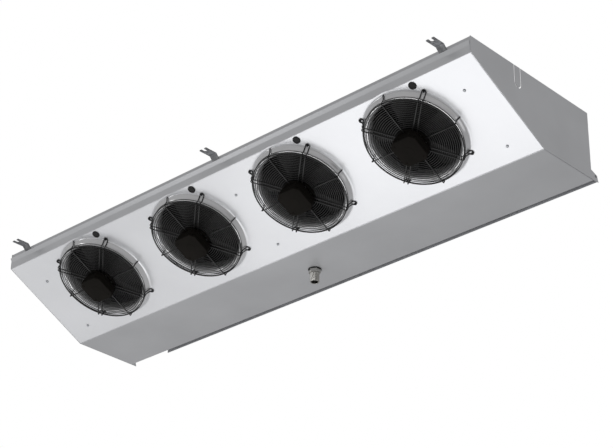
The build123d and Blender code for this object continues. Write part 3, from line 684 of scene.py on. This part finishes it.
# %% Motors
MOTOR_HALF, MOTOR_CUT = 39.0, 12.0
MOTOR_STEPS = [                        # (inset of the outline, height), mm
    (3.0, 36.0), (1.2, 36.3), (0.4, 37.2), (0.4, 42.0), (1.6, 42.4), (1.6, 43.6), (0.0, 44.0),
    (0.0, 57.0), (1.6, 57.4), (1.6, 58.4), (0.0, 58.8), (0.0, 64.2), (0.5, 65.4), (1.8, 66.0)]
MOTOR_BOSS = [(0.01, 65.5), (15.0, 65.5), (15.0, 65.9), (14.4, 66.4), (6.0, 66.6), (0.01, 66.6)]
LID_SCREW, LID_LEVEL = 27.5, 65.6      # each way from the axis, and height
LID_SCREW_HEAD = [(0.01, 0), (3.4, 0), (3.4, 0.6), (2.9, 1.0), (1.6, 1.0), (1.5, 0.3), (0.01, 0.3)]
CORNERS = [(sx, sy) for sx in (-1, 1) for sy in (-1, 1)]


def square_outline(inset):
    """Square with cut corners, in mm, drawn in by an inset."""
    half, cut = MOTOR_HALF - inset, MOTOR_CUT + inset * 0.2
    corner = []
    for sx, sy in ((1, 1), (-1, 1), (-1, -1), (1, -1)):
        pair = [(sx * half, sy * (half - cut)), (sx * (half - cut), sy * half)]
        corner += pair if sx * sy > 0 else pair[::-1]
    return corner


for number, _, _, at in fan_places:
    work = bmesh.new()
    rows = [[work.verts.new(at @ (Vector((*point, height)) * MM)) for point in square_outline(inset)]
            for inset, height in MOTOR_STEPS]
    bridge(work, rows)
    work.faces.new(rows[0])
    work.faces.new(rows[-1])
    turned(MOTOR_BOSS, 48, at, work)
    for sx, sy in CORNERS:
        corner = Matrix.Translation(Vector((sx * LID_SCREW, sy * LID_SCREW, LID_LEVEL)) * MM)
        turned(LID_SCREW_HEAD, 20, at @ corner, work)
    piece(f"fan_motor_{number}_cast", to_mesh(work, "fan_motor"), "fan_tray", motor_paint,
          "motor_black", f"fan_motor_{number}")
print("motors:", len(fan_places), "with", len(CORNERS), "lid screws each")

# %% [markdown]
# ## Rotors
# Five wide blades grow from a drum hub. A blade is a warped plate: it is pitched steeply at the
# hub, flattens towards the tip, and its middle is cambered, so it bites the air evenly. The plate
# is a grid of points worked out from those rules, thickened, with both edges rounded off.

# %% Rotors
BLADES, HUB_R, TIP_R = 5, 34.0, 114.6
HUB_FRONT, HUB_BACK, HUB_LAP = 14.0, -16.0, 2.0    # the blades start that far inside the hub
SPAN_STEPS, CHORD_STEPS = 14, 12
BLADE_THICK, BLADE_LEVEL = 1.6, -7.0
ROOT_CHORD, CHORD_GAIN = 42.0, 36.0    # at the hub, and what the span adds
ROOT_PITCH, PITCH_LOSS = 31.0, 17.0    # degrees at the hub, and what the span takes away
CAMBER, CAMBER_DROP = 0.09, 0.06       # shares of the chord
TIP_START, TIP_TRIM = 0.86, 0.175      # the corners at the tip are rounded from here, by this share
HUB = [(0.01, HUB_BACK), (HUB_R - 1.5, HUB_BACK), (HUB_R, HUB_BACK + 1.5), (HUB_R, HUB_FRONT - 2),
       (HUB_R - 0.6, HUB_FRONT - 0.6), (HUB_R - 2, HUB_FRONT), (8, HUB_FRONT), (6, HUB_FRONT + 2),
       (4, HUB_FRONT + 2), (4, 49.6), (0.01, 50)]


def blade_point(span, along, side):
    """Point of a blade: span 0 to 1 from the hub, along -1 to 1 over the chord, side +1 or -1."""
    radius = HUB_R - HUB_LAP + (TIP_R - HUB_R + HUB_LAP) * span
    trim = TIP_TRIM * (max(0.0, span - TIP_START) / (1 - TIP_START)) ** 2
    chord = (ROOT_CHORD + CHORD_GAIN * span) * (1 - trim)
    pitch = radians(ROOT_PITCH - PITCH_LOSS * span)
    camber = CAMBER * chord * (1 - along * along)
    thick = BLADE_THICK / 2 * sqrt(max(0.0, 1 - along ** 6))
    flat, rise = along * chord / 2, camber - CAMBER_DROP * chord + side * thick
    tangent = flat * cos(pitch) - rise * sin(pitch)
    height = flat * sin(pitch) + rise * cos(pitch) + BLADE_LEVEL
    return polar(radius, tangent / radius / tau, height)


around = [(-1 + 2 * c / CHORD_STEPS, 1) for c in range(CHORD_STEPS + 1)]
around += [(1 - 2 * c / CHORD_STEPS, -1) for c in range(1, CHORD_STEPS)]
for number, _, _, at in fan_places:
    work = bmesh.new()
    for blade in range(BLADES):
        spin = at @ Matrix.Rotation(tau * blade / BLADES, 4, "Z")
        loops = [[work.verts.new(spin @ (blade_point(s / SPAN_STEPS, along, side) * MM))
                  for along, side in around] for s in range(SPAN_STEPS + 1)]
        bridge(work, loops)
        work.faces.new(loops[0])
        work.faces.new(loops[-1])
    turned(HUB, 64, at, work)
    piece(f"fan_rotor_{number}_blades", to_mesh(work, "fan_rotor"), f"rotor_{number}", rotor_paint,
          "rotor_black", f"fan_rotor_{number}")
print("rotors:", len(fan_places), "with", BLADES, "blades")

# %% [markdown]
# ## Screws and grommets
# Pan heads hold the plate to the frames. The recess is a cross sunk into the dome: a boolean cut
# is the honest way, because a screw's recess is punched in just as abruptly. The guards' screws
# are dark hexagon heads on a thin flange, and the grommets are soft rubber buttons.


# %% Plate screws
PLATE_SCREW = [(0.01, 0.02), (4.0, 0.02), (4.0, 0.9), (3.8, 1.5), (3.1, 2.0), (2.0, 2.2), (0.01, 2.25)]
SCREW_DOWN = (86.0 * MM, 273.0 * MM)   # down the slope from the lip
RECESS_SIZE, RECESS_LEVEL, RECESS_TURN = (4.2, 0.8, 2.6), 2.6, 0.4     # mm, mm and radians
screw_lines = [sum(corner.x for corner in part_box(f"bracket_front_{side}")) / 2
               for side in ("left", "centre", "right")]
work, cutter = bmesh.new(), bmesh.new()
for x in screw_lines:
    for down in SCREW_DOWN:
        at = plate_frame(x, down)
        turned(PLATE_SCREW, 40, at, work)
        for angle in (RECESS_TURN, RECESS_TURN + pi / 2):
            bar = Matrix.Translation((0, 0, RECESS_LEVEL * MM)) @ Matrix.Diagonal(
                (*(size * MM for size in RECESS_SIZE), 1))
            bmesh.ops.create_cube(cutter, size=1.0, matrix=at @ Matrix.Rotation(angle, 4, "Z") @ bar)
heads = piece("plate_screw_heads", to_mesh(work, "plate_screw_heads"), "fan_tray", screw_metal, "zinc",
              "plate_screws")
cut_mesh = bpy.data.meshes.new("cross_recess")
cutter.to_mesh(cut_mesh)
cutter.free()
recess = bpy.data.objects.new("cross_recess", cut_mesh)
bpy.context.scene.collection.objects.link(recess)
boolean = heads.modifiers.new("recess", "BOOLEAN")
boolean.operation, boolean.object, boolean.solver = "DIFFERENCE", recess, "EXACT"
boolean.use_self = True
heads.data = smooth(applied(heads))
bpy.data.objects.remove(recess)
print("plate screws:", len(screw_lines) * len(SCREW_DOWN))


# %% Guard screws and grommets
def hexagonal(flats, low, high, chamfer, hole, at, work, steps=72):
    """Hexagon whose corners are turned off at both ends, with a round hole."""
    corner = flats / 2 / cos(pi / 6)
    reach = [flats / 2 / cos((tau * i / steps + pi / 6) % (pi / 3) - pi / 6) for i in range(steps)]
    limits = [(low, corner - chamfer), (low + chamfer * 0.5, corner),
              (high - chamfer * 0.5, corner), (high, corner - chamfer)]
    loops = [turned_ring(work, at, [hole] * steps, low)]
    loops += [turned_ring(work, at, [min(r, limit) for r in reach], z) for z, limit in limits]
    loops.append(turned_ring(work, at, [hole] * steps, high))
    bridge(work, loops, endless=True)


LOOP_SCREW = 149.0 / sqrt(2)           # each way from the axis
SCREW_FLANGE = [(0.01, 2.9), (3.3, 2.9), (3.5, 3.2), (3.2, 3.6), (0.01, 3.7)]
work = bmesh.new()
for _, _, _, at in fan_places:
    for sx, sy in CORNERS:
        eye = at @ Matrix.Translation(Vector((sx * LOOP_SCREW, sy * LOOP_SCREW, 0)) * MM)
        turned(SCREW_FLANGE, 32, eye, work)
        hexagonal(flats=5.0, low=3.6, high=5.6, chamfer=0.4, hole=0.01, at=eye, work=work, steps=36)
piece("guard_screw_heads", to_mesh(work, "guard_screw_heads"), "fan_tray", dark_metal, "dark_steel",
      "guard_screws")

GROMMET_PLACE = (87, 131, 0)           # mm along the casing and up the slope from a fan's axis
GROMMET = [(0.01, -4.2), (6.4, -4.2), (8, -2.4), (8, 0), (10.6, 0), (11, 0.6), (11, 1.6),
           (10.2, 2.7), (8.8, 3.0), (7.6, 2.6), (7.0, 1.9), (5.6, 1.6), (0.01, 1.6)]
work = bmesh.new()
for _, _, _, at in fan_places:
    turned(GROMMET, 48, at @ Matrix.Translation(Vector(GROMMET_PLACE) * MM), work)
piece("cable_grommets_moulded", to_mesh(work, "cable_grommets"), "fan_tray", soft_rubber,
      "black_rubber", "cable_grommets")
print("guard screws:", len(fan_places) * len(CORNERS), "and grommets:", len(fan_places))

# %% [markdown]
# ## Drain
# The outlet is a turned brass fitting with a spanner hexagon and a G 3/4 pipe thread: 14 turns to
# the inch, so a pitch of 1.814 mm. The thread is real geometry. Every point of the pipe's wall
# moves in and out with its height and its angle together, and that makes the helix.

# %% Drain fitting
PIPE_R, BORE_R, PITCH, DEPTH = 13.2, 10.0, 1.814, 1.16
THREAD_LOW, THREAD_HIGH, ROUND, ROWS_PER_TURN = -40.0, -12.0, 72, 6
LEAD_IN, LEAD_SLOPE, RUN_OUT = 1.2, 0.9, 1.5
BORE = [(PIPE_R, 8.2), (BORE_R, 8.2), (BORE_R, -39.4), (BORE_R + 0.6, -40.0)]
HEX_FLATS, SEAT_R = 31.0, 13.4
GASKET = [(SEAT_R, -2.0), (18.2, -2.0), (19.0, -1.4), (19.0, -0.6), (18.4, 0.0), (SEAT_R, 0.0)]
drain_low, drain_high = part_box("drain_nipple")
middle = (drain_low + drain_high) / 2
drain = Matrix.Translation((middle.x, middle.y, bottom_face))


def thread_radius(z, share):
    """Radius of the pipe at a height in mm and at a share of a turn."""
    groove = abs(2 * ((z / PITCH - share) % 1.0) - 1)
    fade = min(1.0, (z - THREAD_LOW) / LEAD_IN, (THREAD_HIGH - RUN_OUT - z) / RUN_OUT)
    entry = max(0.0, LEAD_IN - (z - THREAD_LOW)) * LEAD_SLOPE
    return PIPE_R - DEPTH * groove * max(0.0, fade) - entry


rows = int((THREAD_HIGH - THREAD_LOW) / (PITCH / ROWS_PER_TURN))
work = bmesh.new()
grid = []
for row in range(rows + 1):
    z = THREAD_LOW + (THREAD_HIGH - THREAD_LOW) * row / rows
    grid.append(turned_ring(work, drain, [thread_radius(z, i / ROUND) for i in range(ROUND)], z))
grid += [turned_ring(work, drain, [radius] * ROUND, z) for radius, z in BORE]
bridge(work, grid, endless=True)
hexagonal(flats=HEX_FLATS, low=-12.0, high=-2.0, chamfer=1.6, hole=PIPE_R - 0.3, at=drain, work=work)
piece("drain_fitting", to_mesh(work, "drain_fitting"), "fan_tray", drain_metal, "bright_metal",
      "drain_nipple")
work = bmesh.new()
hexagonal(flats=HEX_FLATS, low=1.2, high=7.2, chamfer=1.4, hole=SEAT_R, at=drain, work=work)
piece("drain_lock_nut", to_mesh(work, "drain_lock_nut"), "fan_tray", drain_metal, "bright_metal",
      "drain_nut")
piece("drain_gasket_ring", to_mesh(turned(GASKET, 64, drain), "drain_gasket_ring"), "fan_tray",
      soft_rubber, "black_rubber", "drain_gasket")
print("thread rows:", rows)

# %% [markdown]
# ## Coil
# The coil is what the cooler is for: thin aluminium fins pressed onto copper tubes. The CAD block
# stands for them. Here each fin is a thin zigzag plate, which is how fins are really rolled to stir
# the air, and the tubes are round serpentines that leave the end frames in smooth return bends.

# %% Coil fins
FIN_SPACING, FIN_THICK, WAVES, WAVE_HEIGHT = 6.2, 0.35, 8, 0.9


def fin_wave(step):
    """Sideways shift of a fin's zigzag in mm, with none at its two edges."""
    if step in (0, WAVES):
        return 0.0
    return WAVE_HEIGHT if step % 2 else -WAVE_HEIGHT


low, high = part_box("coil_fins")
work = bmesh.new()
count = int((high.x - low.x) / MM / FIN_SPACING)
start = (low.x + high.x) / 2 - (count - 1) * FIN_SPACING * MM / 2
for i in range(count):
    x = start + i * FIN_SPACING * MM
    sides = []
    for shift in (-FIN_THICK / 2, FIN_THICK / 2):
        columns = []
        for w in range(WAVES + 1):
            y = low.y + (high.y - low.y) * w / WAVES
            columns.append([work.verts.new((x + (shift + fin_wave(w)) * MM, y, z))
                            for z in (low.z, high.z)])
        sides.append(columns)
    for w in range(WAVES):
        a, b, c, d = sides[0][w], sides[0][w + 1], sides[1][w], sides[1][w + 1]
        for quad in ((a[0], b[0], b[1], a[1]), (c[0], c[1], d[1], d[0]), (a[1], b[1], d[1], c[1]),
                     (a[0], c[0], d[0], b[0])):
            work.faces.new(quad)
    for w in (0, WAVES):
        a, c = sides[0][w], sides[1][w]
        work.faces.new((a[0], a[1], c[1], c[0]))
piece("coil_fins_rolled", to_mesh(work, "coil_fins"), "casing", fin_metal, "fin_aluminium",
      "coil_fins")
print("fins:", count)

# %% Coil tubes and headers
TUBE_PITCH, TUBE_R, EDGE = 33.0, 5.9, 6.0
RIGHT_ROOM, LEFT_ROOM = 7, 10          # straight ends beyond the coil, before the return bends
LIQUID_LAP, SUCTION_LAP = 1, 2         # how far the tubes run into the headers
BEND_SHARES, STUB_LENGTH = 12, 20
tube_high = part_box("coil_tubes")[1]
rows_y = [low.y / MM + EDGE + TUBE_PITCH * (row + 0.5) for row in range(2)]
rows_z = [low.z / MM + TUBE_PITCH * (level + 0.5) for level in range(4)]
bend_right = tube_high.x / MM - TUBE_PITCH / 2 - RIGHT_ROOM
bend_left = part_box("frame_left")[0].x / MM - LEFT_ROOM
liquid_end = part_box("liquid_header")[1].x / MM - LIQUID_LAP
suction_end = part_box("suction_header")[1].x / MM - SUCTION_LAP
paths = []
for first, second in ((0, 1), (3, 2)):
    route = [(rows_y[0], rows_z[first]), (rows_y[0], rows_z[second]), (rows_y[1], rows_z[second]),
             (rows_y[1], rows_z[first])]
    path = [Vector((liquid_end, *route[0]))]
    for i, (here, there) in enumerate(zip(route, route[1:])):
        far, swing = (bend_right, 1) if i % 2 == 0 else (bend_left, -1)
        middle = Vector(((here[0] + there[0]) / 2, (here[1] + there[1]) / 2))
        arm = Vector(here) - middle
        for k in range(BEND_SHARES + 1):
            angle = pi * k / BEND_SHARES
            out_by = swing * TUBE_PITCH / 2 * sin(angle)
            path.append(Vector((far + out_by, *(middle + arm * cos(angle)))))
    path.append(Vector((suction_end, *route[-1])))
    paths.append(path)
tubes = wires("coil_tubes_round", paths, TUBE_R, Matrix.Identity(4))
piece("coil_tubes_round", tubes, "casing", copper_metal, "copper", "coil_tubes")
for node, stub_r, body_r in (("suction_header", 9.0, 10.5), ("liquid_header", 6.0, 7.5)):
    low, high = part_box(node)
    at = Matrix.Translation(((low.x + high.x) / 2, (low.y + high.y) / 2, low.z))
    tall = (high.z - low.z) / MM
    shoulder = tall - STUB_LENGTH
    outline = [(0.01, 0), (body_r * 0.7, 0.3), (body_r * 0.93, 1.8), (body_r, 4),
               (body_r, shoulder - 2.5), (body_r - 0.5, shoulder - 0.8), (stub_r, shoulder),
               (stub_r, tall - 0.4), (stub_r - 0.3, tall), (stub_r - 0.9, tall),
               (stub_r - 1, tall - 0.4), (stub_r - 1, shoulder), (0.01, shoulder)]
    header = to_mesh(turned(outline, 48, at), node)
    piece(f"{node}_turned", header, "casing", copper_metal, "copper", node)
print("tube paths:", len(paths))

# %% [markdown]
# ## Floor and light
# The picture is lit like a studio shot of something hanging overhead. A soft box below fills the
# sloping plate, brightest towards the near end, and a weaker one further left keeps the far end
# from going grey. A narrow strip in front draws highlights along the pressed rings and lifts the
# lip a little. The world adds a dim even light from all sides, which is most of what the tray and
# the end panel get, with a faint box beyond the right end. Rays that go straight to the camera see
# a white surround.

# %% Floor and world
FLOOR_LEVEL, FLOOR_SIZE = -9.0, 120.0
bpy.ops.mesh.primitive_plane_add(size=FLOOR_SIZE, location=(0, 0, FLOOR_LEVEL))
floor = bpy.context.object
floor.name = "studio_floor"
FLOOR_PATCH = 2500         # size in mm of the faint patches on the floor
floor_paint, tree, place, shader = blank("pale_studio_floor")
mottle = add(tree, "ShaderNodeTexNoise", {"Vector": place, "Scale": per_metre(FLOOR_PATCH), "Detail": 2.0})
dress(tree, shader, mottle.outputs["Fac"], [(0.3, "#E9E9E9"), (0.7, "#EEEEEE")])
shader.inputs["Roughness"].default_value = 0.9
floor.data.materials.append(floor_paint)

AMBIENT, SURROUND = 0.357, 1.0
world = bpy.data.worlds.new("studio")
bpy.context.scene.world = world
world.use_nodes = True
tree = world.node_tree
tree.nodes.clear()
dim = add(tree, "ShaderNodeBackground", {"Color": linear("#FFFFFF"), "Strength": AMBIENT})
white = add(tree, "ShaderNodeBackground", {"Color": linear("#FFFFFF"), "Strength": SURROUND})
seen = add(tree, "ShaderNodeLightPath").outputs["Is Camera Ray"]
mixed = add(tree, "ShaderNodeMixShader", {"Fac": seen})
tree.links.new(dim.outputs[0], mixed.inputs[1])
tree.links.new(white.outputs[0], mixed.inputs[2])
add(tree, "ShaderNodeOutputWorld", {"Surface": mixed.outputs[0]})
print("world strength:", AMBIENT, "and surround:", SURROUND)


# %% Lamps
def soft_box(name, place, target, size, power):
    """Rectangular lamp that looks at a target: size in metres, power in watts."""
    light = bpy.data.lights.new(name, "AREA")
    light.shape, light.size, light.size_y, light.energy = "RECTANGLE", size[0], size[1], power
    lamp = bpy.data.objects.new(name, light)
    lamp.location = place
    lamp.rotation_euler = (Vector(target) - Vector(place)).to_track_quat("-Z", "Y").to_euler()
    lamp.visible_camera = False
    bpy.context.scene.collection.objects.link(lamp)


soft_box("box_below", (-0.45, -0.35, -2.6), (0.3, -0.1, 0), (1.5, 2.4), 19.2)
soft_box("strip_front", (-2.0, -2.9, -1.3), (0, -0.2, -0.1), (0.4, 2.2), 5)
soft_box("box_below_left", (-3.4, -0.35, -2.4), (-0.6, -0.1, 0), (1.6, 2.4), 7.7)
soft_box("box_end", (3.3, 1.2, -0.6), (0.87, 0, -0.1), (1.6, 1.6), 3.4)
